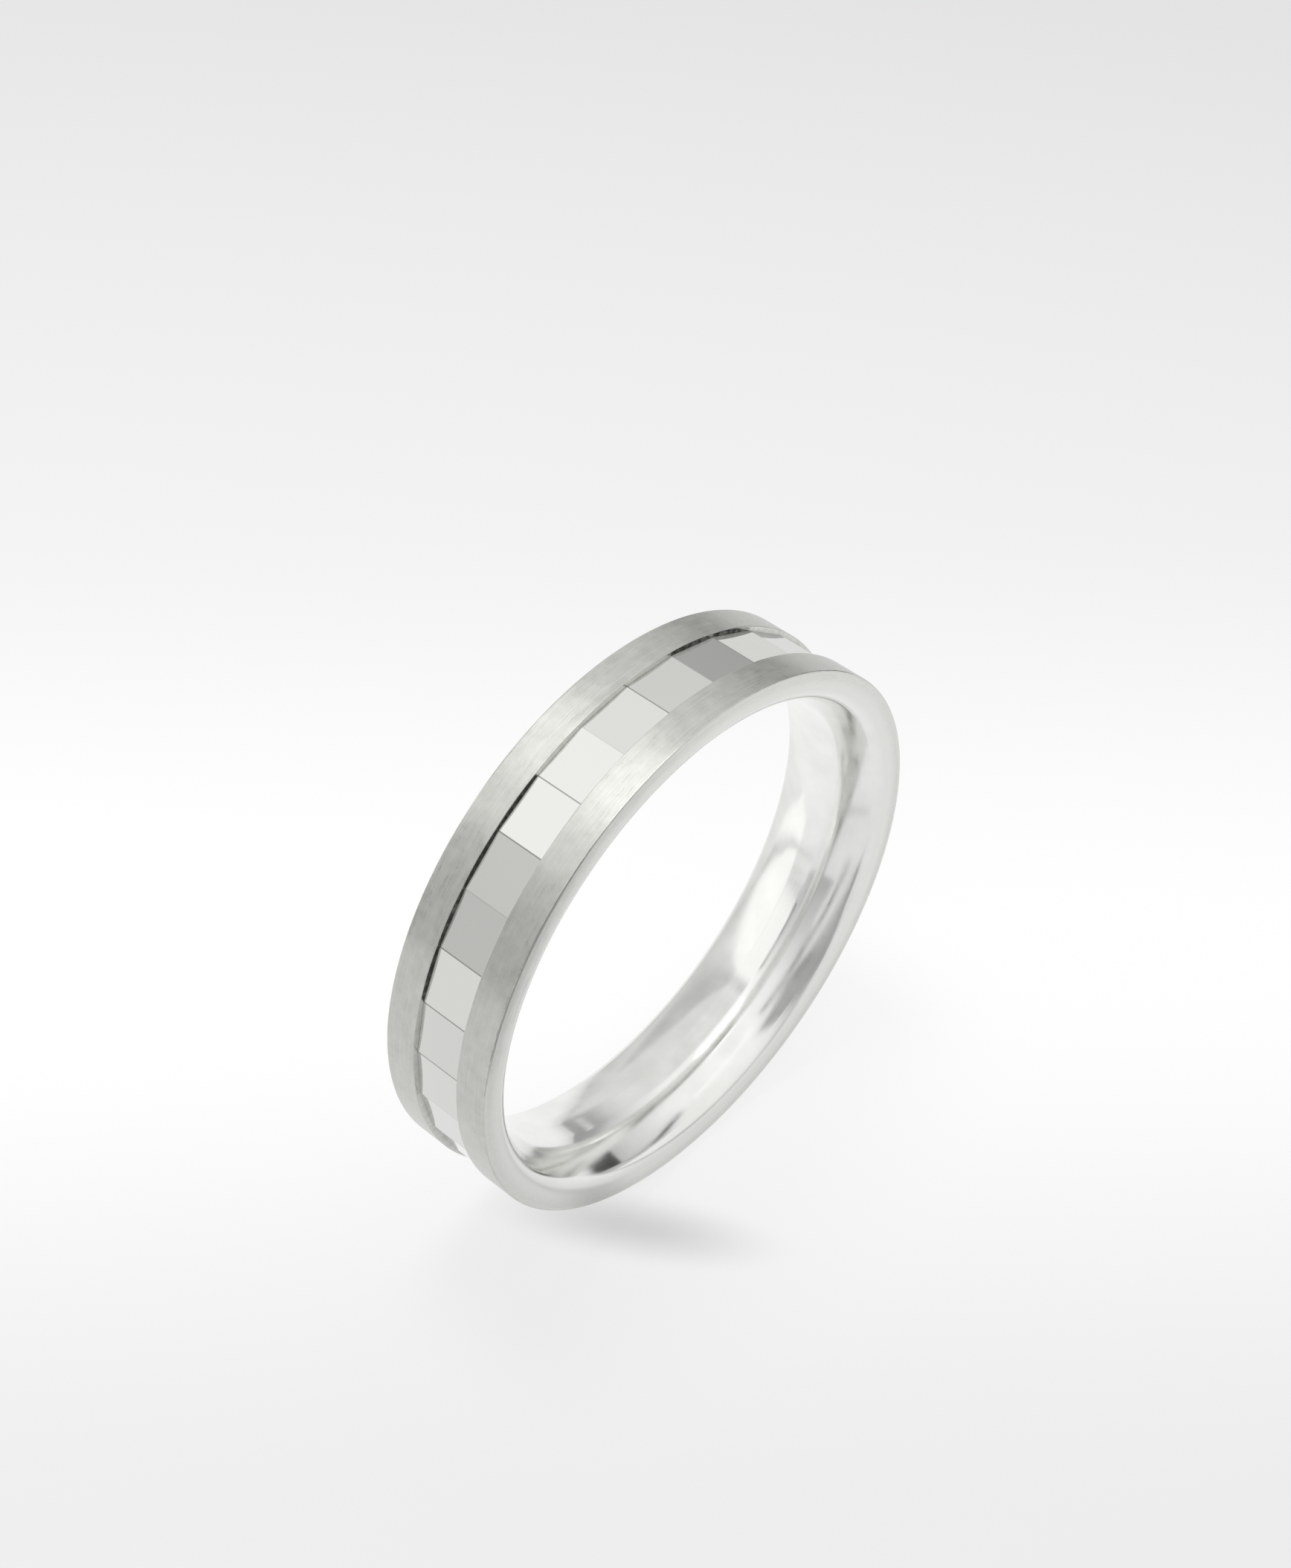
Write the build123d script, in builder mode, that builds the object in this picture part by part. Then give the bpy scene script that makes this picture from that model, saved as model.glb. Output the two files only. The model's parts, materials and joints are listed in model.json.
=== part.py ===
from build123d import *
import os
from math import cos, pi, radians, sin, tan

# Wedding band: a polished comfort-fit sleeve carrying a mirror-faceted centre ring
# between two satin side rings.
#
# Frame: millimetres. The ring stands on its tread like a wheel: the finger bore runs
# along Y, +Z is up, and the origin is the centre of the bore at mid-width.
# The front rim faces -Y and the rear rim faces +Y.

os.makedirs("parts", exist_ok=True)

# Driving dimensions, mm and degrees
band_width = 4.5                # along the finger
outer_diameter = 21.4           # over the satin side rings
finger_bore_diameter = 18.0     # tightest point of the comfort-fit bore
sleeve_outer_diameter = 20.05   # seat that the three outer rings are pressed on

dome_radius = 2.3               # first curve from the bore's land towards each rim
dome_angle = 17                 # slope where the dome meets the flare
flare_angle = 28                # slope where the flare meets the edge roll
edge_roll_radius = 0.6          # rounding from the flare up to each rim

facet_count = 31                # flats milled round the centre ring
facet_width = 1.9               # between the two groove walls
ridge_depth = 0.15              # ridges between facets, below the side rings
ridge_radius_of_polish = 0.25   # softening of each ridge by the polishing lap
ridge_angle = 2.0               # turn of the nearest ridge away from straight up

wall_draft = 10                 # lean of the groove walls away from square
tongue_length = 0.3             # lips of the centre ring held under the side rings
tongue_thickness = 0.25
edge_break = 0.05               # chamfer on each side ring's outer corner

# Derived dimensions
half_width = band_width / 2
outer_radius = outer_diameter / 2
bore_radius = finger_bore_diameter / 2
seat_radius = sleeve_outer_diameter / 2
half_facet = facet_width / 2
half_tongue = half_facet + tongue_length
tongue_radius = seat_radius + tongue_thickness
ridge_radius = outer_radius - ridge_depth
facet_radius = ridge_radius * cos(pi / facet_count)   # from the axis to a flat's middle

# The comfort-fit bore: a short straight land, a dome, a flare and an edge roll, each
# tangent to the next, that climb from the bore radius to the sleeve's outside.
dome_slope = radians(dome_angle)
flare_slope = radians(flare_angle)
dome_rise = dome_radius * (1 - cos(dome_slope))
roll_rise = edge_roll_radius * cos(flare_slope)
flare_rise = seat_radius - bore_radius - dome_rise - roll_rise
flare_radius = flare_rise / (cos(dome_slope) - cos(flare_slope))
dome_run = dome_radius * sin(dome_slope)
flare_run = flare_radius * (sin(flare_slope) - sin(dome_slope))
roll_run = edge_roll_radius * (1 - sin(flare_slope))
half_land = half_width - dome_run - flare_run - roll_run

# A polygon's first corner lies on its plane's X axis; this turns one up to the top ridge.
facet_turn = 90 + ridge_angle
wall_run = 0.1                  # how far each groove wall is cut along Y, past the outside
wall_rise = wall_run / tan(radians(wall_draft))


def across_bore(offset):
    """A plane square to the finger bore at Y = offset, with its X axis along +X."""
    return Plane(origin=(0, offset, 0), x_dir=(1, 0, 0), z_dir=(0, -1, 0))


# Comfort-fit sleeve: the polished inner tube that touches the finger
with BuildPart() as comfort_fit_sleeve:
    with BuildSketch(Plane.XY):
        with BuildLine():
            land = Line((bore_radius, -half_land), (bore_radius, half_land))
            rear_dome = JernArc(land @ 1, land % 1, dome_radius, -dome_angle)
            rear_flare = JernArc(
                rear_dome @ 1, rear_dome % 1, flare_radius, dome_angle - flare_angle
            )
            rear_roll = JernArc(
                rear_flare @ 1, rear_flare % 1, edge_roll_radius, flare_angle - 90
            )
            mirror(rear_dome, about=Plane.XZ)
            mirror(rear_flare, about=Plane.XZ)
            mirror(rear_roll, about=Plane.XZ)
            Line((seat_radius, -half_width), (seat_radius, half_width))
        make_face()
    revolve(axis=Axis.Y)
comfort_fit_sleeve.part.label = "comfort_fit_sleeve"

# Faceted centre ring: flat mirror facets, with a plain tongue under each side ring
with BuildPart() as faceted_centre_ring:
    with BuildSketch(across_bore(0)) as facet_outline:
        RegularPolygon(ridge_radius, facet_count, rotation=facet_turn)
        fillet(facet_outline.vertices(), radius=ridge_radius_of_polish)
    extrude(amount=half_facet, both=True)
    with BuildSketch(across_bore(0)):
        Circle(tongue_radius)
    extrude(amount=half_tongue, both=True)
    with BuildSketch(across_bore(0)):
        Circle(seat_radius)
    extrude(amount=half_width, both=True, mode=Mode.SUBTRACT)
faceted_centre_ring.part.label = "faceted_centre_ring"


def groove_envelope(side):
    """What the faceting cutter leaves of one side: a faceted cone frustum, then a disc.

    The frustum's flats start on the centre ring's facets and climb at the wall draft.
    """
    wall_top = side * (half_facet + wall_run)
    with BuildPart() as envelope:
        with BuildSketch(across_bore(side * half_facet)):
            RegularPolygon(facet_radius, facet_count, major_radius=False, rotation=facet_turn)
        with BuildSketch(across_bore(wall_top)):
            RegularPolygon(
                facet_radius + wall_rise, facet_count, major_radius=False, rotation=facet_turn
            )
        loft()
        with BuildSketch(across_bore(wall_top)):
            Circle(outer_radius)
        extrude(amount=-side * band_width)
    return envelope.part


def side_ring(side):
    """One satin side ring: side is -1 for the front (-Y) and +1 for the rear (+Y).

    Its rebate lies over the centre ring's tongue. Its groove wall is cut together
    with the facets, so the wall is faceted too and scallops the ring's outer edge.
    """
    envelope = groove_envelope(side)
    corners = [
        (seat_radius, side * half_tongue),
        (seat_radius, side * half_width),
        (outer_radius - edge_break, side * half_width),
        (outer_radius, side * (half_width - edge_break)),
        (outer_radius, side * half_facet),
        (tongue_radius, side * half_facet),
        (tongue_radius, side * half_tongue),
    ]
    with BuildPart() as ring:
        with BuildSketch(Plane.XY):
            with BuildLine():
                Polyline(*corners, close=True)
            make_face()
        revolve(axis=Axis.Y)
        add(envelope, mode=Mode.INTERSECT)
    return ring.part


front_side_ring = side_ring(-1)
front_side_ring.label = "front_side_ring"
rear_side_ring = side_ring(1)
rear_side_ring.label = "rear_side_ring"

export_step(comfort_fit_sleeve.part, "parts/comfort_fit_sleeve.step")
export_step(faceted_centre_ring.part, "parts/faceted_centre_ring.step")
export_step(front_side_ring, "parts/front_side_ring.step")
export_step(rear_side_ring, "parts/rear_side_ring.step")
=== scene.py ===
"""Looks of the wedding band: a polished comfort-fit sleeve, a belt of mirror facets
and two satin side rings, on a plain pale floor in soft studio light.

Metres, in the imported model's frame: the finger bore runs along Y and +Z is up.
"""
import json
from math import atan2, cos, hypot, pi, radians, sin, tan

import bpy
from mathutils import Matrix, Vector


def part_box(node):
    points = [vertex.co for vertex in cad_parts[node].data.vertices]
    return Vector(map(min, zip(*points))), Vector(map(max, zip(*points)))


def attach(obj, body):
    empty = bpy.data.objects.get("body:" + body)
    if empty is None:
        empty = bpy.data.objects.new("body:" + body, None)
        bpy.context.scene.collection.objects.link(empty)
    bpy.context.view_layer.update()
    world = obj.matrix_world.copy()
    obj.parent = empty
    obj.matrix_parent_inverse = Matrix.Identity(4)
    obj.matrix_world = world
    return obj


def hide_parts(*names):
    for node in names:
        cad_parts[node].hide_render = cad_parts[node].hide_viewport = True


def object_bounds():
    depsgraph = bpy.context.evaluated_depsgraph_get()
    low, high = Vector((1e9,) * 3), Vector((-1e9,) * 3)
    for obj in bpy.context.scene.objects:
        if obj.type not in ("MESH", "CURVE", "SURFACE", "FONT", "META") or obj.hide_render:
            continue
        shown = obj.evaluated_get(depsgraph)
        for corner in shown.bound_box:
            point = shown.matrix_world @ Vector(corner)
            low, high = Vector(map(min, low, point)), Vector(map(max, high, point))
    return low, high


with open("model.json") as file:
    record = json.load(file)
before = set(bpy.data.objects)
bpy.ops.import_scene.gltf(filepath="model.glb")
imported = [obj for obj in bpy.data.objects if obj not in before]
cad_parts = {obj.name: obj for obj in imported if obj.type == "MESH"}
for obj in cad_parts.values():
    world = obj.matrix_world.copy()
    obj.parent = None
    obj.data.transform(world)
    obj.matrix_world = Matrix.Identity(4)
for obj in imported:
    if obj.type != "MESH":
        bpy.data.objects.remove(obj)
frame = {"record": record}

cad_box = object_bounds()

MM = 0.001

# Sizes read from the frame
sleeve_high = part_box("comfort_fit_sleeve")[1]
centre_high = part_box("faceted_centre_ring")[1]
front_low, front_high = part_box("front_side_ring")
bore = next(m for m in frame["record"]["mounts"] if m["name"] == "finger_bore")

half_width = sleeve_high.y
seat_radius = sleeve_high.x
bore_radius = bore["dims"]["r_mm"] * MM
outer_radius = min(front_high.x, -front_low.x, front_high.z, -front_low.z)
half_facet = -front_high.y          # half the belt of facets, between the groove walls
half_tongue = centre_high.y         # half the centre ring, tongues included

# Facets, groove walls and edges
facet_count = 31
facet_pitch = 2 * pi / facet_count
ridge_angle = radians(92)           # the ridge nearest the top
ridge_radius = outer_radius - 0.15 * MM
facet_radius = ridge_radius * cos(facet_pitch / 2)      # from the axis to a flat's middle
ridge_rounding = 0.25 * MM
tongue_radius = seat_radius + 0.25 * MM
mean_draft = radians(10)            # lean of the groove walls
draft_error = radians(1.5)          # the most that one facet's cut strays from it
draft_scatter = 61                  # a large factor, so that neighbours stray unalike
rail_edge_rounding = 0.03 * MM      # where each groove wall meets its satin rail
rim_corner_rounding = 0.05 * MM     # outer corner of each side ring
rim_bevel = 0.07 * MM               # narrow bevel between that corner and the rim face
rim_bevel_lean = radians(10)
seam_chamfer = 0.012 * MM           # hairline along both edges of the facets

# Comfort-fit bore: land, dome, flare and edge roll, each tangent to the next
dome_radius = 2.3 * MM
dome_slope = radians(17)
flare_slope = radians(28)
edge_roll_radius = 0.6 * MM
flare_rise = (
    seat_radius - bore_radius
    - dome_radius * (1 - cos(dome_slope))
    - edge_roll_radius * cos(flare_slope)
)
flare_radius = flare_rise / (cos(dome_slope) - cos(flare_slope))
half_land = (
    half_width
    - dome_radius * sin(dome_slope)
    - flare_radius * (sin(flare_slope) - sin(dome_slope))
    - edge_roll_radius * (1 - sin(flare_slope))
)

# How finely each facet's share of a ring is divided
columns_per_facet = 14              # on a round piece
flat_columns = 8                    # on the belt, across each flat
ridge_columns = 6                   # on the belt, round each ridge


# --- Ring meshes --------------------------------------------------------------------
#
# A ring is a closed section swept about the Y axis. The section is a list of runs that
# follow each other counter-clockwise, with the radius to the right and Y up. A run holds
# (radius, y) points and (radial, axial) normals, and each run's last point is the next
# run's first. A flat run turns with its facet, and any other run with its own column.
#
# A column is a place round the ring. It is a tuple that starts with the column's angle
# and ends with the angles that the facets face just before it and just after it.


def run(points, normals, material=0, flat=False):
    """One run of a section. material is an index into the ring's materials."""
    return {"points": points, "normals": normals, "material": material, "flat": flat}


def straight(start, end, material=0, flat=False, pieces=1, normal=None):
    """A straight run. Unless one is given, its normal is to the right of its direction."""
    dr, dy = end[0] - start[0], end[1] - start[1]
    length = hypot(dr, dy)
    normal = normal or (dy / length, -dr / length)
    points = [
        (start[0] + dr * i / pieces, start[1] + dy * i / pieces) for i in range(pieces + 1)
    ]
    return run(points, [normal] * (pieces + 1), material, flat)


def arc(centre, radius, start, end, steps):
    """A convex arc from angle start to end in the (radius, y) plane."""
    angles = [start + (end - start) * i / steps for i in range(steps + 1)]
    points = [(centre[0] + radius * cos(a), centre[1] + radius * sin(a)) for a in angles]
    return run(points, [(cos(a), sin(a)) for a in angles])


def mirrored(runs):
    """The same runs on the other side of Y = 0, in the order that keeps the loop going."""
    return [
        run(
            [(r, -y) for r, y in reversed(one["points"])],
            [(radial, -axial) for radial, axial in reversed(one["normals"])],
            one["material"],
            one["flat"],
        )
        for one in reversed(runs)
    ]


def round_columns():
    """Evenly spaced columns with one on every ridge: (angle, facing before, facing after)."""
    columns = []
    for facet in range(facet_count):
        facing = ridge_angle + facet_pitch * (facet + 0.5)
        for step in range(columns_per_facet):
            angle = ridge_angle + facet_pitch * (facet + step / columns_per_facet)
            before = facing - facet_pitch if step == 0 else facing
            columns.append((angle, before, facing))
    return columns


def facet_columns():
    """Columns of the faceted ring: flats, then the polished rounding of each ridge.

    Each is (angle, radius of the outer face, facing before, facing after).
    """
    flat_half = (facet_radius - ridge_rounding) * tan(facet_pitch / 2)
    centre_radius = ridge_radius - ridge_rounding / cos(facet_pitch / 2)
    columns = []
    for facet in range(facet_count):
        facing = ridge_angle + facet_pitch * (facet + 0.5)
        for step in range(flat_columns):
            along = -flat_half + 2 * flat_half * step / flat_columns
            turn = atan2(along, facet_radius)
            columns.append((facing + turn, hypot(along, facet_radius), facing, facing))
        ridge = facing + facet_pitch / 2
        for step in range(ridge_columns):
            lean = facet_pitch * (step / ridge_columns - 0.5)
            out = centre_radius + ridge_rounding * cos(lean)
            aside = ridge_rounding * sin(lean)
            facing_here = ridge + lean
            columns.append(
                (ridge + atan2(aside, out), hypot(out, aside), facing_here, facing_here)
            )
    return columns


def turned(normal, facing):
    """A section's (radial, axial) normal as a vector on the side of the ring at facing."""
    radial, axial = normal
    return (radial * cos(facing), axial, radial * sin(facing))


def ring_vertices(columns, sections):
    """All vertices, column by column. Each run leaves its last point to the next one."""
    return [
        (r * cos(column[0]), y, r * sin(column[0]))
        for column, section in zip(columns, sections)
        for one in section
        for r, y in one["points"][:-1]
    ]


def strip(here, there, columns, sections):
    """The faces between two columns, each as (corners, corner normals, material)."""
    per_column = sum(len(one["points"]) - 1 for one in sections[here])
    point = 0
    for run_here, run_there in zip(sections[here], sections[there]):
        if run_here["flat"]:
            facing_here, facing_there = columns[here][-1], columns[there][-2]
        else:
            facing_here, facing_there = columns[here][0], columns[there][0]
        for step in range(len(run_here["points"]) - 1):
            next_point = (point + 1) % per_column
            corners = (
                here * per_column + point,
                here * per_column + next_point,
                there * per_column + next_point,
                there * per_column + point,
            )
            corner_normals = [
                turned(run_here["normals"][step], facing_here),
                turned(run_here["normals"][step + 1], facing_here),
                turned(run_there["normals"][step + 1], facing_there),
                turned(run_there["normals"][step], facing_there),
            ]
            yield corners, corner_normals, run_here["material"]
            point += 1


def ring(name, columns, section, materials, node):
    """Builds one ring piece. section gives the runs of the section at a column."""
    sections = [section(column) for column in columns]
    faces, normals, face_materials = [], [], []
    for here in range(len(columns)):
        there = (here + 1) % len(columns)
        for corners, corner_normals, material in strip(here, there, columns, sections):
            faces.append(corners)
            normals += corner_normals
            face_materials.append(material)
    mesh = bpy.data.meshes.new(name)
    mesh.from_pydata(ring_vertices(columns, sections), [], faces)
    for material in materials:
        mesh.materials.append(material)
    mesh.polygons.foreach_set("material_index", face_materials)
    mesh.polygons.foreach_set("use_smooth", [True] * len(faces))
    mesh.normals_split_custom_set(normals)
    piece = bpy.data.objects.new(name, mesh)
    bpy.context.scene.collection.objects.link(piece)
    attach(piece, "root")
    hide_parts(node)


# --- Materials ----------------------------------------------------------------------


class Nodes:
    """A short way to write a node tree."""

    def __init__(self, tree):
        self.tree = tree
        tree.nodes.clear()

    def feed(self, socket, value):
        """Links a socket into this one, or sets this one to a constant."""
        if isinstance(value, bpy.types.NodeSocket):
            self.tree.links.new(value, socket)
        else:
            socket.default_value = value

    def add(self, kind, inputs=None, **settings):
        node = self.tree.nodes.new(kind)
        for key, value in settings.items():
            setattr(node, key, value)
        for key, value in (inputs or {}).items():
            self.feed(node.inputs[key], value)
        return node

    def math(self, operation, *values, clamp=False):
        node = self.add("ShaderNodeMath", dict(enumerate(values)), operation=operation)
        node.use_clamp = clamp
        return node.outputs[0]

    def vector(self, operation, *values):
        node = self.add("ShaderNodeVectorMath", dict(enumerate(values)), operation=operation)
        return node.outputs["Value" if operation in ("LENGTH", "DOT_PRODUCT") else "Vector"]

    def combine(self, x=0.0, y=0.0, z=0.0):
        return self.add("ShaderNodeCombineXYZ", {0: x, 1: y, 2: z}).outputs[0]

    def grey(self, tone):
        return self.add("ShaderNodeCombineColor", {0: tone, 1: tone, 2: tone}).outputs[0]

    def remap(self, value, low, high, to_low=0.0, to_high=1.0, smooth=False):
        limits = {"From Min": low, "From Max": high, "To Min": to_low, "To Max": to_high}
        node = self.add(
            "ShaderNodeMapRange",
            {"Value": value, **limits},
            interpolation_type="SMOOTHSTEP" if smooth else "LINEAR",
        )
        return node.outputs["Result"]

    def noise(self, vector, grain, detail):
        """Soft noise. A grain is about this long in the vector's own units."""
        node = self.add(
            "ShaderNodeTexNoise",
            {"Vector": vector, "Scale": 1 / grain, "Detail": detail, "Roughness": 0.55},
        )
        return node.outputs["Fac"]

    def spread(self, noise, low, high):
        """A value from low to high that follows noise, which seldom leaves 0.3 to 0.7."""
        return self.remap(noise, 0.3, 0.7, low, high)

    def mix_colour(self, factor, a, b):
        node = self.add("ShaderNodeMix", data_type="RGBA")
        # These three are the factor and the two colours of a colour mix.
        for index, value in ((0, factor), (6, a), (7, b)):
            self.feed(node.inputs[index], value)
        return node.outputs[2]

    def mix_shader(self, factor, a, b):
        return self.add("ShaderNodeMixShader", {0: factor, 1: a.outputs[0], 2: b.outputs[0]})


class MetalNodes(Nodes):
    """The node tree of one of the band's metals, with coordinates that follow the band."""

    def __init__(self, tree):
        super().__init__(tree)
        self.position = self.add("ShaderNodeTexCoord").outputs["Object"]
        self.x, self.y, self.z = self.add("ShaderNodeSeparateXYZ", {0: self.position}).outputs
        self.radius = self.vector("LENGTH", self.combine(self.x, 0.0, self.z))

    def grain(self, length, width, detail):
        """Noise whose grains are this long round the band and this wide across it."""
        around = outer_radius / length
        gx = self.math("MULTIPLY", self.math("DIVIDE", self.x, self.radius), around)
        gz = self.math("MULTIPLY", self.math("DIVIDE", self.z, self.radius), around)
        across = self.math("MULTIPLY", self.math("ADD", self.y, self.radius), 1 / width)
        return self.noise(self.combine(gx, across, gz), 1.0, detail)

    def bump(self, height, depth, strength):
        node = self.add(
            "ShaderNodeBump", {"Height": height, "Distance": depth, "Strength": strength}
        )
        return node.outputs[0]

    def brush(self, shader, amount):
        """Spreads the highlights across the grain, which runs round the band."""
        tangent = self.add("ShaderNodeTangent", direction_type="RADIAL", axis="Y")
        self.feed(shader.inputs["Tangent"], tangent.outputs[0])
        self.feed(shader.inputs["Anisotropic"], amount)
        self.feed(shader.inputs["Anisotropic Rotation"], 0.25)


def new_material(name, nodes=Nodes):
    """A new material and the nodes that write its tree."""
    material = bpy.data.materials.new(name)
    material.use_nodes = True
    return material, nodes(material.node_tree)


def metal(name):
    """A new metallic material, its nodes and its shader."""
    material, n = new_material(name, MetalNodes)
    shader = n.add("ShaderNodeBsdfPrincipled", {"Metallic": 1.0})
    n.add("ShaderNodeOutputMaterial", {"Surface": shader.outputs[0]})
    return material, n, shader


def set_surface(n, shader, base, rough, normal):
    """Feeds a metal's colour, roughness and bumps into its shader."""
    n.feed(shader.inputs["Base Color"], base)
    n.feed(shader.inputs["Roughness"], rough)
    n.feed(shader.inputs["Normal"], normal)


# Where the sleeve meets a side ring on the rim, both have this colour.
seam_colour = (0.70, 0.705, 0.68, 1)


def satin_metal():
    """Fine satin: short grains round the band over a faint mottle, polished at the corners.

    The rim face is finer than the tread, and finer still where it meets the sleeve.
    """
    tread_dark, tread_light = (0.52, 0.525, 0.495, 1), (0.63, 0.635, 0.605, 1)
    face_dark, face_light = (0.61, 0.615, 0.59, 1), (0.67, 0.675, 0.65, 1)
    material, n, shader = metal("satin_metal")
    grain = n.grain(0.26 * MM, 0.035 * MM, detail=4.0)
    streak = n.grain(1.7 * MM, 0.06 * MM, detail=3.0)
    mottle = n.noise(n.position, 0.42 * MM, detail=4.0)

    # The rim face, the half millimetre of it next to the sleeve, and the rubbed corner
    off_centre = n.math("ABSOLUTE", n.y)
    rim_start = half_width - 0.02 * MM
    rim = n.remap(off_centre, rim_start, half_width - 0.002 * MM)
    near_seat = n.remap(n.radius, seat_radius, seat_radius + 0.5 * MM, 1.0, 0.0, smooth=True)
    seam = n.math("MULTIPLY", rim, near_seat)
    side = n.remap(off_centre, half_width - 0.10 * MM, rim_start, smooth=True)
    top = n.remap(n.radius, outer_radius - 0.15 * MM, outer_radius - 0.09 * MM, smooth=True)
    worn = n.math("MULTIPLY", side, top)

    shade = n.math("ADD", n.math("MULTIPLY", streak, 0.5), n.math("MULTIPLY", mottle, 0.5))
    tread = n.mix_colour(n.remap(shade, 0.36, 0.64), tread_dark, tread_light)
    face = n.mix_colour(n.spread(grain, 0.0, 1.0), face_dark, face_light)
    base = n.mix_colour(seam, n.mix_colour(rim, tread, face), seam_colour)

    rough = n.math("ADD", n.spread(streak, 0.26, 0.36), n.spread(mottle, -0.03, 0.03))
    rough = n.math("SUBTRACT", rough, n.math("MULTIPLY", worn, 0.22))
    rough = n.math("SUBTRACT", rough, n.math("MULTIPLY", seam, 0.10))

    height = n.math("ADD", grain, n.math("MULTIPLY", streak, 0.8))
    smoothed = n.math("SUBTRACT", 1.0, n.math("MULTIPLY", seam, 0.8))
    height = n.math("MULTIPLY", height, smoothed)
    set_surface(n, shader, base, rough, n.bump(height, 0.004 * MM, strength=1.0))
    n.brush(shader, 0.75)
    return material


def mirror_metal():
    """Mirror facets: faint cutter lines across each facet, tiny specks, darker ridge lines."""
    light, dark = (0.71, 0.715, 0.69, 1), (0.26, 0.26, 0.25, 1)
    material, n, shader = metal("mirror_facets")

    # Facets counted round the band, with a whole number on every ridge
    turn = n.math("ARCTAN2", n.z, n.x)
    count = n.math("DIVIDE", n.math("SUBTRACT", turn, ridge_angle), facet_pitch)
    nearest_ridge = n.math("ROUND", count)

    # A hairline along each ridge, stronger on some ridges than on others
    line_core, line_edge = 0.012 * MM, 0.034 * MM
    facet_length = facet_pitch * ridge_radius
    from_ridge = n.math("MULTIPLY", n.math("PINGPONG", count, 0.5), facet_length)
    line = n.remap(from_ridge, line_core, line_edge, 1.0, 0.0, smooth=True)
    pick = n.add("ShaderNodeTexWhiteNoise", {"W": nearest_ridge}, noise_dimensions="1D")
    strength = n.remap(pick.outputs["Value"], 0.25, 0.6, to_low=0.15, to_high=0.9)
    line = n.math("MULTIPLY", line, strength)

    # Cutter lines, finely spaced round the band and unlike from one ridge to the next
    cutter_pitch, cutter_length = 0.012 * MM, 1.5 * MM
    cutter_place = n.combine(
        n.math("MULTIPLY", count, facet_length / cutter_pitch),
        n.math("MULTIPLY", n.y, 1 / cutter_length),
        nearest_ridge,
    )
    cutter_lines = n.noise(cutter_place, 1.0, detail=2.0)
    haze = n.noise(n.position, 0.9 * MM, detail=3.0)
    speck = n.remap(n.noise(n.position, 0.10 * MM, detail=1.0), 0.70, 0.76)

    rough = n.math("ADD", n.spread(haze, 0.03, 0.075), n.math("MULTIPLY", speck, 0.12))
    rough = n.math("ADD", rough, n.math("MULTIPLY", line, 0.25))
    base = n.mix_colour(line, light, dark)
    set_surface(n, shader, base, rough, n.bump(cutter_lines, 0.00006 * MM, strength=0.6))
    return material


def polished_metal():
    """Bore polish: soft circumferential lap lines and a light haze from wear.

    Towards each rim the polish gives way to the side rings' finer satin.
    """
    dull, bright = (0.80, 0.805, 0.785, 1), (0.86, 0.86, 0.845, 1)
    material, n, shader = metal("polished_bore")
    lines = n.grain(6.0 * MM, 0.05 * MM, detail=3.0)
    haze = n.noise(n.position, 1.3 * MM, detail=4.0)
    lip = n.remap(n.radius, bore_radius + 0.42 * MM, seat_radius, smooth=True)
    base = n.mix_colour(n.remap(haze, 0.35, 0.65), dull, bright)
    base = n.mix_colour(lip, base, seam_colour)
    rough = n.math("ADD", n.spread(haze, 0.09, 0.17), n.spread(lines, -0.02, 0.03))
    rough = n.math("ADD", rough, n.math("MULTIPLY", lip, 0.08))
    set_surface(n, shader, base, rough, n.bump(lines, 0.0004 * MM, strength=0.6))
    n.brush(shader, 0.4)
    return material


def groove_metal():
    """The cut groove walls, with a random mottle and painted shade: darker towards the root."""
    light, dark = (0.72, 0.72, 0.70, 1), (0.42, 0.42, 0.40, 1)
    material, n, shader = metal("groove_wall")
    wall_mottle = n.noise(n.position, 0.25 * MM, detail=3.0)
    # Painted shade: the wall grows darker towards the root of the groove.
    painted_depth_shade = n.remap(n.radius, facet_radius, outer_radius, to_high=0.5)
    tone = n.math("ADD", n.spread(wall_mottle, 0.0, 0.4), painted_depth_shade, clamp=True)
    base = n.mix_colour(tone, dark, light)
    rough = n.spread(wall_mottle, 0.06, 0.16)
    set_surface(n, shader, base, rough, n.bump(wall_mottle, 0.0006 * MM, strength=0.5))
    return material


# --- The four pieces ----------------------------------------------------------------


def sleeve_section(_column):
    """Outer seat, then the roll, flare, dome and land of the comfort-fit bore."""
    roll_centre = (seat_radius, half_width - edge_roll_radius)
    dome_centre = (bore_radius + dome_radius, half_land)
    # The flare's centre lies on the line from its start through the dome's centre.
    offset = flare_radius - dome_radius
    flare_centre = (
        dome_centre[0] + offset * cos(dome_slope), dome_centre[1] - offset * sin(dome_slope)
    )
    rear = [
        arc(roll_centre, edge_roll_radius, pi / 2, pi - flare_slope, steps=14),
        arc(flare_centre, flare_radius, pi - flare_slope, pi - dome_slope, steps=8),
        arc(dome_centre, dome_radius, pi - dome_slope, pi, steps=12),
    ]
    seat = straight((seat_radius, -half_width), (seat_radius, half_width), pieces=4)
    land = straight((bore_radius, half_land), (bore_radius, -half_land), pieces=4)
    return [seat, *rear, land, *mirrored(rear)]


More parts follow.
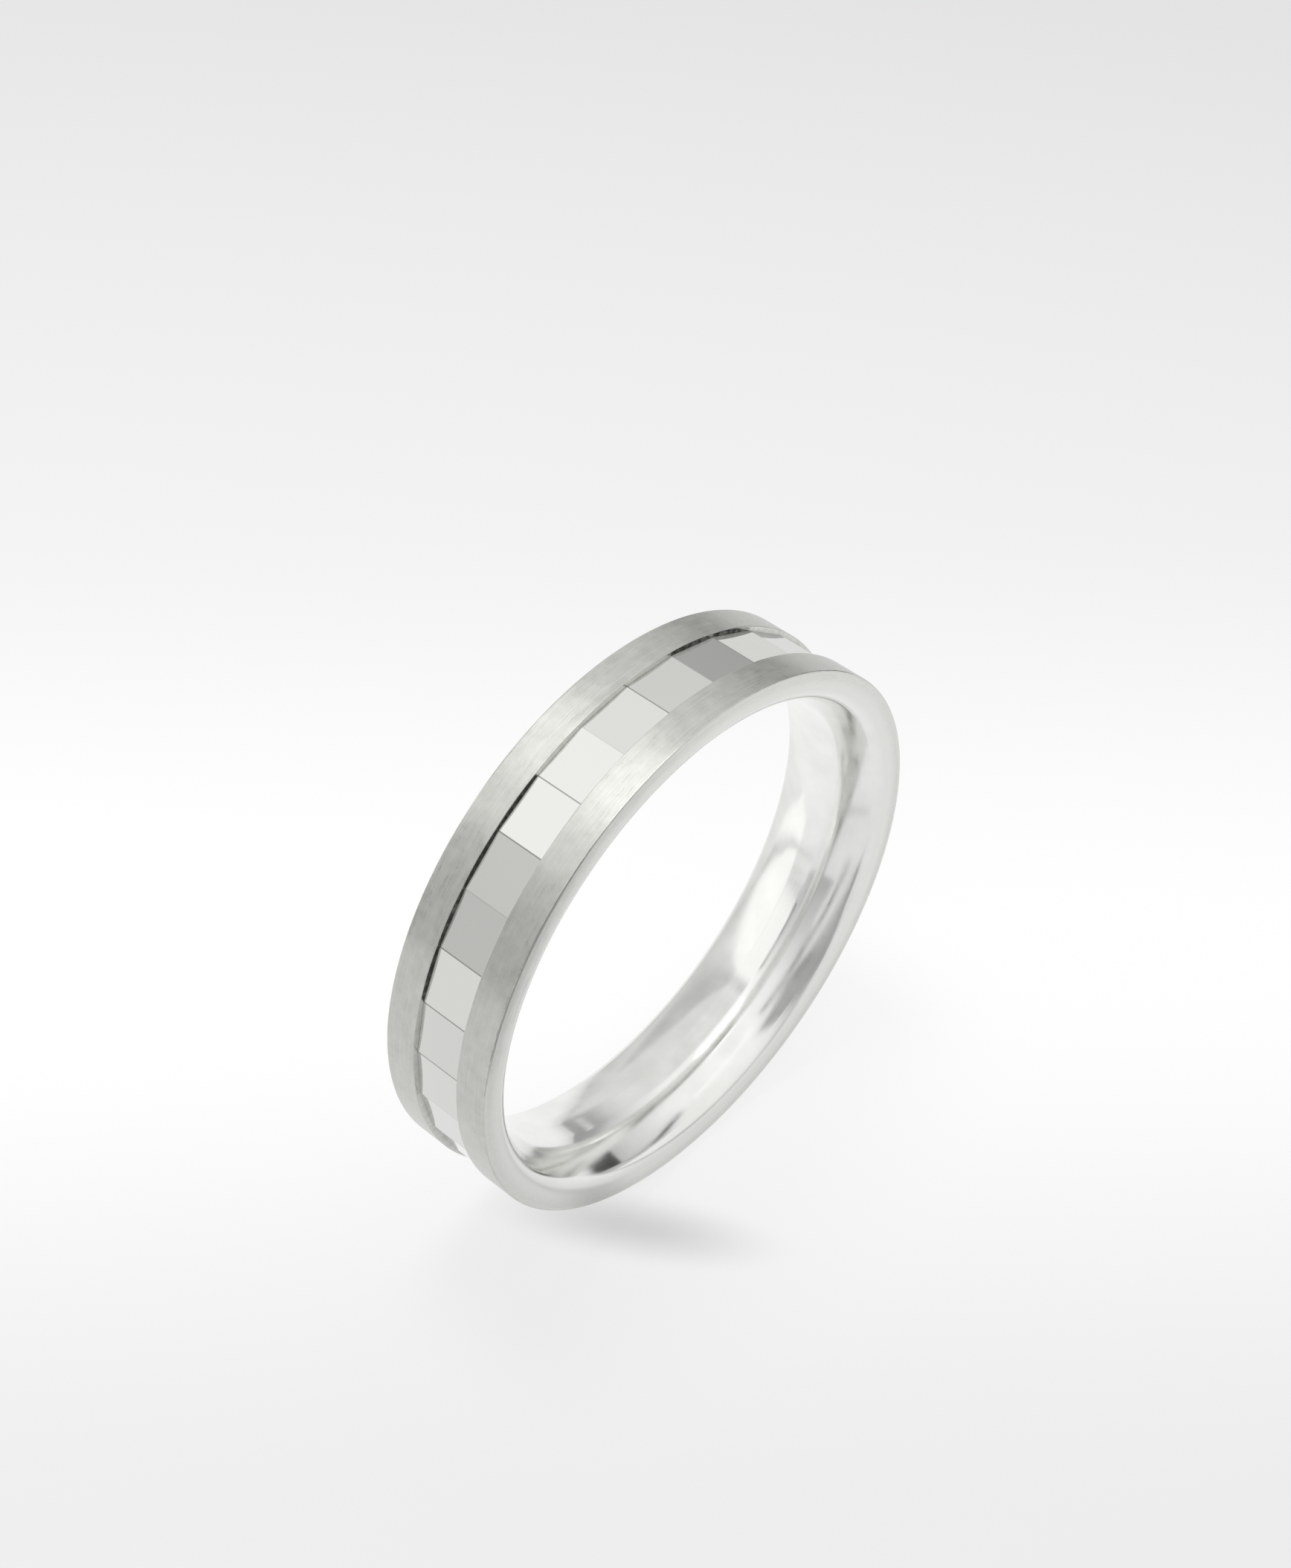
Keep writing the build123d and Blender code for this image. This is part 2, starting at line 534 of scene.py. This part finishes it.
def centre_section(column):
    """Tongues, hidden sides and seat, and the flat facet, which turns with its column."""
    face = column[1]
    front = [
        straight((seat_radius, -half_tongue), (tongue_radius, -half_tongue)),
        straight((tongue_radius, -half_tongue), (tongue_radius, -half_facet)),
        straight((tongue_radius, -half_facet), (face - seam_chamfer, -half_facet)),
        straight(
            (face - seam_chamfer, -half_facet), (face, seam_chamfer - half_facet), flat=True
        ),
    ]
    facet = straight(
        (face, seam_chamfer - half_facet), (face, half_facet - seam_chamfer), flat=True, pieces=6
    )
    seat = straight((seat_radius, half_tongue), (seat_radius, -half_tongue))
    return [*front, facet, *mirrored(front), seat]


def groove_wall(angle, facing):
    """The rear groove wall and the small rounding where it meets the satin rail."""
    # Each facet's cut leaves its wall a little steeper or shallower than its neighbours.
    draft = mean_draft + draft_error * sin(facing * draft_scatter)
    stretch = cos(angle - facing)
    wall_top = half_facet + (outer_radius * stretch - facet_radius) * tan(draft)
    roll = rail_edge_rounding
    roll_centre = (outer_radius - roll, wall_top + roll)
    roll_start = draft - pi / 2
    wall_end = (
        roll_centre[0] + roll * cos(roll_start), roll_centre[1] + roll * sin(roll_start)
    )
    wall = straight(
        (facet_radius / stretch, half_facet), wall_end,
        material=1, flat=True, pieces=3, normal=(sin(draft), -cos(draft)),
    )
    return wall, arc(roll_centre, roll, roll_start, 0, steps=5)


def rim_corner():
    """The rear side ring's outer corner and the narrow bevel between it and the rim."""
    corner = rim_corner_rounding
    corner_turn = pi / 2 - rim_bevel_lean
    centre = (
        outer_radius - corner,
        half_width - rim_bevel * tan(rim_bevel_lean) - corner * sin(corner_turn),
    )
    rounding = arc(centre, corner, 0, corner_turn, steps=6)
    bevel_start = rounding["points"][-1]
    bevel_end = (bevel_start[0] - rim_bevel, half_width)
    return rounding, straight(bevel_start, bevel_end)


def side_section(column):
    """The rear side ring's section: tongue rebate, groove wall, rail, corner and rim."""
    wall, wall_roll = groove_wall(angle=column[0], facing=column[-1])
    corner, bevel = rim_corner()
    wall_foot = wall["points"][0]
    rail_start, rail_end = wall_roll["points"][-1], corner["points"][0]
    bevel_end = bevel["points"][-1]
    return [
        straight((seat_radius, half_tongue), (tongue_radius, half_tongue)),
        straight((tongue_radius, half_tongue), (tongue_radius, half_facet)),
        straight((tongue_radius, half_facet), wall_foot),
        wall,
        wall_roll,
        straight(rail_start, rail_end, pieces=6),
        corner,
        bevel,
        straight(bevel_end, (seat_radius, half_width), pieces=4),
        straight((seat_radius, half_width), (seat_radius, half_tongue), pieces=2),
    ]


def front_section(column):
    """The rear side ring's section on the other side of the band."""
    return mirrored(side_section(column))


satin, mirror, polish, groove = satin_metal(), mirror_metal(), polished_metal(), groove_metal()
ring(
    "polished_sleeve", round_columns(), sleeve_section, [polish],
    "comfort_fit_sleeve",
)
ring(
    "facet_belt", facet_columns(), centre_section, [mirror],
    "faceted_centre_ring",
)
ring(
    "rear_rail", round_columns(), side_section, [satin, groove],
    "rear_side_ring",
)
ring(
    "front_rail", round_columns(), front_section, [satin, groove],
    "front_side_ring",
)


# --- Floor, light and camera --------------------------------------------------------


def direction(azimuth, elevation=0):
    """Unit vector: azimuth 0 points to -Y and 90 to +X; elevation is above the horizon."""
    a, e = radians(azimuth), radians(elevation)
    return Vector((sin(a) * cos(e), -cos(a) * cos(e), sin(e)))


def reach(n, vector, azimuth, elevation=0):
    """How far a vector reaches in a direction."""
    return n.vector("DOT_PRODUCT", vector, direction(azimuth, elevation)[:])


def link_stage(name, mesh, material):
    """Adds a part of the studio, which is no part of the band."""
    mesh.materials.append(material)
    stage_object = bpy.data.objects.new(name, mesh)
    bpy.context.scene.collection.objects.link(stage_object)
    return stage_object


def look_back(thing, back, distance):
    """Stands a lamp or camera off from the band, facing against the direction back."""
    thing.location = back * distance
    thing.rotation_mode = "QUATERNION"
    thing.rotation_quaternion = back.to_track_quat("Z", "Y")


def painted_sweep_light(n, place):
    """The sweep's tone, painted light: brightest just behind the band, it fades both ways.

    place is in outer radii, as are all the distances here.
    """
    sweep_azimuth = 132.5           # the way the sweep runs
    brightest = 0.65                # how far that way its brightest place lies
    away = n.math("SUBTRACT", reach(n, place, sweep_azimuth), brightest)
    across = reach(n, place, sweep_azimuth - 90)
    far = n.remap(away, 0.2, 7.0, to_high=0.15)
    middle = n.remap(away, 0.2, 2.6, to_high=0.07, smooth=True)
    near = n.remap(away, -2.3, 0.0, to_low=0.15, to_high=0.0, smooth=True)
    side = n.remap(across, -3, 3, to_low=-0.012, to_high=0.012)
    fade = n.math("ADD", n.math("ADD", far, middle), n.math("ADD", near, side))
    # Further out the sweep evens out and meets the backdrop.
    outer_fade = 0.12
    outer = n.remap(n.vector("LENGTH", place), 7.5, 13.0, smooth=True)
    change = n.math("SUBTRACT", outer_fade, fade)
    fade = n.math("ADD", fade, n.math("MULTIPLY", change, outer))
    return n.math("SUBTRACT", 1.0, fade)


def painted_shadow(n, place):
    """A painted shadow, a soft dark ellipse under the front of the band: 1 outside it, less within.

    Its middle lies along_middle towards its azimuth and aside_middle square to that.
    """
    azimuth, along_middle, aside_middle = 31, 0.04, -0.52
    half_length, half_breadth, darkest = 0.57, 0.165, 0.73
    along = n.math("SUBTRACT", reach(n, place, azimuth), along_middle)
    aside = n.math("SUBTRACT", reach(n, place, azimuth + 90), aside_middle)
    ellipse = n.combine(
        n.math("DIVIDE", along, half_length), n.math("DIVIDE", aside, half_breadth)
    )
    return n.remap(n.vector("LENGTH", ellipse), 0.0, 1.0, darkest, 1.0, smooth=True)


def floor():
    """A pale sweep, part lit by the studio and part glowing, and clear from below."""
    half_size = 60 * outer_radius
    paper_tone, glow_strength, glow_share = 0.62, 1.11, 0.72
    level = cad_box[0].z
    corners = [
        (x * half_size, y * half_size, level) for x, y in ((-1, -1), (1, -1), (1, 1), (-1, 1))
    ]
    mesh = bpy.data.meshes.new("floor")
    mesh.from_pydata(corners, [], [(0, 1, 2, 3)])
    material, n = new_material("pale_floor")
    position = n.add("ShaderNodeTexCoord").outputs["Object"]
    place = n.vector("DIVIDE", position, [outer_radius] * 3)
    # Painted light from the sweep, darkened by the painted shadow under the front of the band
    tone = n.math("MULTIPLY", painted_sweep_light(n, place), painted_shadow(n, place))
    paper = n.add("ShaderNodeBsdfDiffuse", {"Color": n.grey(n.math("MULTIPLY", tone, paper_tone))})
    glow = n.add("ShaderNodeEmission", {"Color": n.grey(tone), "Strength": glow_strength})
    lit = n.mix_shader(glow_share, paper, glow)
    clear = n.add("ShaderNodeBsdfTransparent")
    below = n.add("ShaderNodeNewGeometry").outputs["Backfacing"]
    surface = n.mix_shader(below, lit, clear)
    n.add("ShaderNodeOutputMaterial", {"Surface": surface.outputs[0]})
    link_stage("floor", mesh, material)


def card(name, centre, width, height, brightness, soft=0.15, turn=(90, 0, 0)):
    """A studio card with soft edges, seen only in the band's reflections.

    centre, width and height are in outer radii. soft is the margin that fades out, as a
    share of the narrower side. turn is the card's XYZ turn in degrees: (90, lean, 0)
    stands it square to the bore, and (0, 0, 0) lays it flat.
    """
    w, h = width * outer_radius / 2, height * outer_radius / 2
    fade = soft * min(width, height) * outer_radius
    mesh = bpy.data.meshes.new(name)
    mesh.from_pydata([(-w, -h, 0), (w, -h, 0), (w, h, 0), (-w, h, 0)], [], [(0, 1, 2, 3)])
    material, n = new_material(name)
    position = n.add("ShaderNodeTexCoord").outputs["Object"]
    x, y, _ = n.add("ShaderNodeSeparateXYZ", {0: position}).outputs
    inside = n.math(
        "MULTIPLY",
        n.remap(n.math("ABSOLUTE", x), w - fade, w, 1.0, 0.0, smooth=True),
        n.remap(n.math("ABSOLUTE", y), h - fade, h, 1.0, 0.0, smooth=True),
    )
    glow = n.add("ShaderNodeEmission", {"Color": (1, 1, 0.99, 1), "Strength": brightness})
    clear = n.add("ShaderNodeBsdfTransparent")
    surface = n.mix_shader(inside, clear, glow)
    n.add("ShaderNodeOutputMaterial", {"Surface": surface.outputs[0]})
    panel = link_stage(name, mesh, material)
    panel.location = Vector(centre) * outer_radius
    panel.rotation_euler = [radians(a) for a in turn]
    panel.visible_camera = panel.visible_diffuse = panel.visible_shadow = False


def studio_world():
    """The room's light: dim at the horizon, bright overhead, with soft patches in it."""
    # Azimuth, elevation, radius and soft edge in degrees, then brightness
    patches = [
        (114, 4, 10, 22, 0.40),
        (-122, 8, 12, 24, 0.69),
        (-152, 56, 14, 30, 1.20),
        (-38, 15, 20, 26, 0.42),
        (15, 36, 24, 26, 1.0),
    ]
    backdrop = 0.86                 # what the camera sees past the floor
    world = bpy.data.worlds.new("studio")
    bpy.context.scene.world = world
    world.use_nodes = True
    n = Nodes(world.node_tree)
    towards = n.add("ShaderNodeTexCoord").outputs["Generated"]
    height = n.add("ShaderNodeSeparateXYZ", {0: towards}).outputs[2]
    low = n.remap(height, 0.0, 0.40, to_low=0.50, to_high=0.66)
    high = n.remap(height, 0.40, 0.80, to_high=0.36)
    top = n.remap(height, 0.80, 0.90, to_high=0.04)
    light = n.math("ADD", n.math("ADD", low, high), top)
    for azimuth, elevation, radius, soft, brightness in patches:
        edge_out, edge_in = cos(radians(radius + soft / 2)), cos(radians(max(radius - soft / 2, 0)))
        inside = n.remap(reach(n, towards, azimuth, elevation), edge_out, edge_in, smooth=True)
        change = n.math("SUBTRACT", brightness, light)
        light = n.math("ADD", light, n.math("MULTIPLY", change, inside))
    seen = n.add("ShaderNodeLightPath").outputs["Is Camera Ray"]
    unseen = n.math("SUBTRACT", 1.0, seen)
    light = n.math("ADD", n.math("MULTIPLY", light, unseen), n.math("MULTIPLY", seen, backdrop))
    background = n.add("ShaderNodeBackground", {"Strength": light, "Color": (1.0, 1.0, 0.995, 1)})
    n.add("ShaderNodeOutputWorld", {"Surface": background.outputs[0]})


def key_light():
    """A soft lamp high behind the band, which gives the floor its faint shadow."""
    lamp = bpy.data.lights.new("key", "AREA")
    lamp.shape = "DISK"
    lamp.size = 5 * outer_radius
    lamp.energy = 0.08
    lamp_object = bpy.data.objects.new("key", lamp)
    bpy.context.scene.collection.objects.link(lamp_object)
    look_back(lamp_object, direction(172, 79), distance=14 * outer_radius)
    lamp_object.visible_glossy = False


def camera():
    """The photograph's view: from above on the front left, the band low in the frame."""
    data = bpy.data.cameras.new("camera")
    data.sensor_width = 36
    data.lens = 63.9
    data.clip_start = 0.1 * outer_radius
    data.clip_end = 200 * outer_radius
    camera_object = bpy.data.objects.new("camera", data)
    bpy.context.scene.collection.objects.link(camera_object)
    # In outer radii: how far the camera stands off, and the middle of its view
    distance, aim_up, aim_right = 9.02, 0.422, -0.032
    back = direction(-47.54, 45.51)
    look_back(camera_object, back, distance * outer_radius)
    right = Vector((0, 0, 1)).cross(back).normalized()
    up = back.cross(right)
    camera_object.location += (up * aim_up + right * aim_right) * outer_radius
    bpy.context.scene.camera = camera_object


floor()
studio_world()
key_light()
# Behind the band: a leaning white card with a thin grey edge and sill, a grey card to its
# right, a dark one that shades the rails, and two white ones far out on either side
card("rear_white", (-0.92, 1.10, 0.13), 1.45, 3.0, 1.16, 0.06, (90, -31, 0))
card("rear_edge", (-0.19, 1.06, 0.56), 0.24, 2.7, 0.58, 0.3, (90, -31, 0))
card("rear_sill", (-0.65, 1.04, -0.63), 2.1, 0.10, 0.66, 0.3)
card("rear_grey", (0.35, 1.14, 0.60), 3.2, 3.6, 0.80, 0.25)
card("rear_shade", (-1.95, 1.05, 1.10), 0.5, 1.7, 0.08, 0.2, (90, 30, 0))
card("rear_low", (-5.7, 2.7, -0.45), 1.3, 1.6, 0.93, 0.1)
card("rear_right", (5.5, 2.7, 0.42), 0.9, 0.55, 0.88, 0.2)
# Before it: grey and white cards, with narrow black strips that the groove walls reflect
card("front_grey", (-0.68, -1.14, 0.20), 1.15, 2.1, 0.43, 0.12)
card("front_spot", (-1.00, -1.12, 0.62), 0.50, 0.60, 0.26, 0.4)
card("front_left", (-2.30, -1.20, 0.20), 2.1, 1.6, 0.88, 0.12)
card("front_white", (0.95, -1.15, 0.45), 1.3, 2.7, 1.0, 0.25)
card("front_top", (0.4, -1.2, 1.95), 1.9, 0.5, 1.2)
card("black_left", (-1.93, -1.1, 0.05), 0.32, 2.2, 0.05, 0.15, (90, 9, 0))
card("black_top_left", (-1.25, -1.1, 1.45), 0.36, 1.4, 0.05, 0.15, (90, 48, 0))
card("black_right", (1.9, -1.1, 0.8), 0.42, 1.6, 0.05, 0.15, (90, -27, 0))
card("black_far", (4.2, -0.95, 0.05), 1.1, 1.3, 0.07, 0.1, (90, 0, 90))
# A wide soft box high overhead
card("overhead", (-0.5, 0.45, 5.0), 3.8, 2.8, 3.0, 0.35, (0, 0, 0))
camera()
bpy.context.scene.view_settings.view_transform = "Standard"
